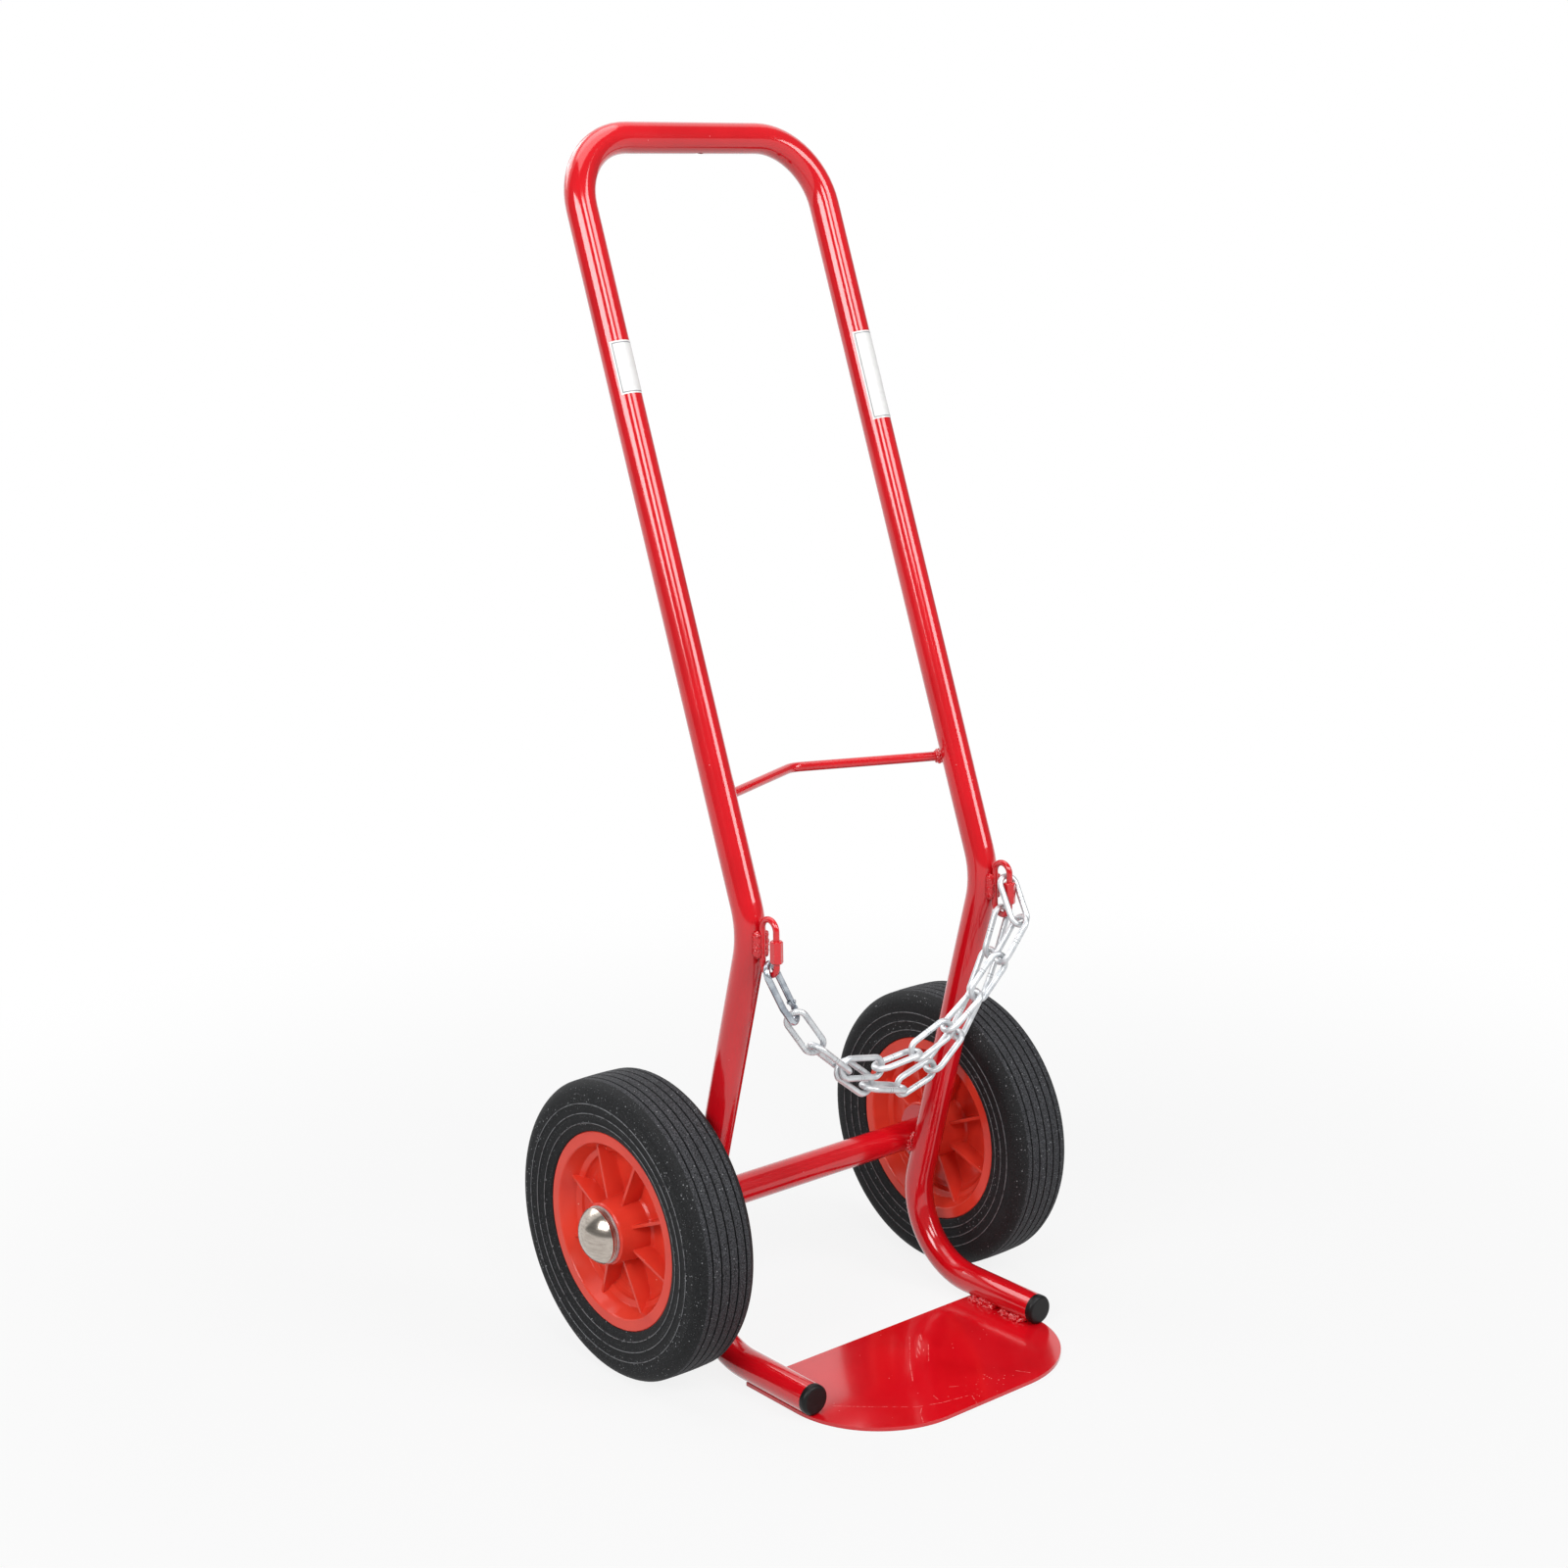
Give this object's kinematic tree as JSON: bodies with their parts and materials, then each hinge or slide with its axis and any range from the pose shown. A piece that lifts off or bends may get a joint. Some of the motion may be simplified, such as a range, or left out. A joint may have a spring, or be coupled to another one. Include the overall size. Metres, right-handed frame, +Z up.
{
  "type": "gas cylinder trolley",
  "caption": "Two-wheeled hand trolley for a gas cylinder: one bent tube frame with a toe plate, an axle with solid rubber wheels, a rest bar and a hold chain with a snap hook.",
  "frame": {"origin": "on the ground, under the middle of the box", "axes": "+Z up, -Y to the front with the toe plate, +X to the user's right seen from the front"},
  "size_m": [0.4468, 0.3645, 0.9945],
  "materials": {
    "red_paint": "glossy red powder coat",
    "rim_red": "orange-red moulded plastic",
    "tyre_rubber": "matt black solid rubber",
    "cap_black": "black plastic",
    "polished_cap": "polished pressed sheet",
    "zinc_plated": "bright zinc plating"
  },
  "bodies": {
    "frame": {"frame_tube": "red_paint", "toe_plate": "red_paint", "axle_tube": "red_paint", "axle_shaft": "zinc_plated", "rest_bar": "red_paint", "foot_welds": "red_paint", "axle_welds": "red_paint", "rest_bar_welds": "red_paint", "quick_link_welds": "red_paint", "end_cap_left": "cap_black", "end_cap_right": "cap_black", "quick_link_left": "red_paint", "quick_link_right": "red_paint", "inner_washer_left": "zinc_plated", "inner_washer_right": "zinc_plated", "outer_washer_left": "zinc_plated", "outer_washer_right": "zinc_plated", "lock_ring_left": "zinc_plated", "lock_ring_right": "zinc_plated", "hub_cap_left": "polished_cap", "hub_cap_right": "polished_cap"},
    "wheel_left": {"tyre_left": "tyre_rubber", "rim_left": "rim_red"},
    "wheel_right": {"tyre_right": "tyre_rubber", "rim_right": "rim_red"},
    "chain": {"hook_body": "zinc_plated", "hook_rivet": "zinc_plated", "chain_link_a": "zinc_plated", "chain_link_b": "zinc_plated", "front_link_1": "zinc_plated", "front_link_2": "zinc_plated", "front_link_3": "zinc_plated", "front_link_4": "zinc_plated", "front_link_5": "zinc_plated", "front_link_6": "zinc_plated", "front_link_7": "zinc_plated", "rear_link_1": "zinc_plated", "rear_link_2": "zinc_plated", "rear_link_3": "zinc_plated", "rear_link_4": "zinc_plated", "rear_link_5": "zinc_plated", "rear_link_6": "zinc_plated", "rear_link_7": "zinc_plated"},
    "hook_gate": {"hook_gate": "zinc_plated"},
    "sleeve_nut_left": {"sleeve_nut_left": "red_paint"},
    "sleeve_nut_right": {"sleeve_nut_right": "red_paint"}
  },
  "joints": [
    {"name": "wheel_left_spin", "type": "hinge", "parent": "frame", "child": "wheel_left", "pos_m": [-0.173, 0.05281, 0.125], "axis": [1, 0, 0], "continuous": true},
    {"name": "wheel_right_spin", "type": "hinge", "parent": "frame", "child": "wheel_right", "pos_m": [0.173, 0.05281, 0.125], "axis": [1, 0, 0], "continuous": true},
    {"name": "chain_swing", "type": "hinge", "parent": "frame", "child": "chain", "pos_m": [0, -0.06637, 0.3615], "axis": [1, 0, 0], "range_deg": [-12, 0]},
    {"name": "hook_gate_open", "type": "hinge", "parent": "chain", "child": "hook_gate", "pos_m": [-0.1021, -0.06498, 0.32617], "axis": [0.4423, -0.8534, 0.2758], "range_deg": [0, 18], "stiffness_Nm_per_rad": 0.02, "springref_deg": -20.05},
    {"name": "sleeve_nut_left_turn", "type": "hinge", "parent": "frame", "child": "sleeve_nut_left", "pos_m": [-0.124, -0.07487, 0.373], "axis": [0, 0, 1], "range_deg": [-360, 360]},
    {"name": "sleeve_nut_right_turn", "type": "hinge", "parent": "frame", "child": "sleeve_nut_right", "pos_m": [0.124, -0.07487, 0.373], "axis": [0, 0, 1], "range_deg": [-360, 360]}
  ]
}
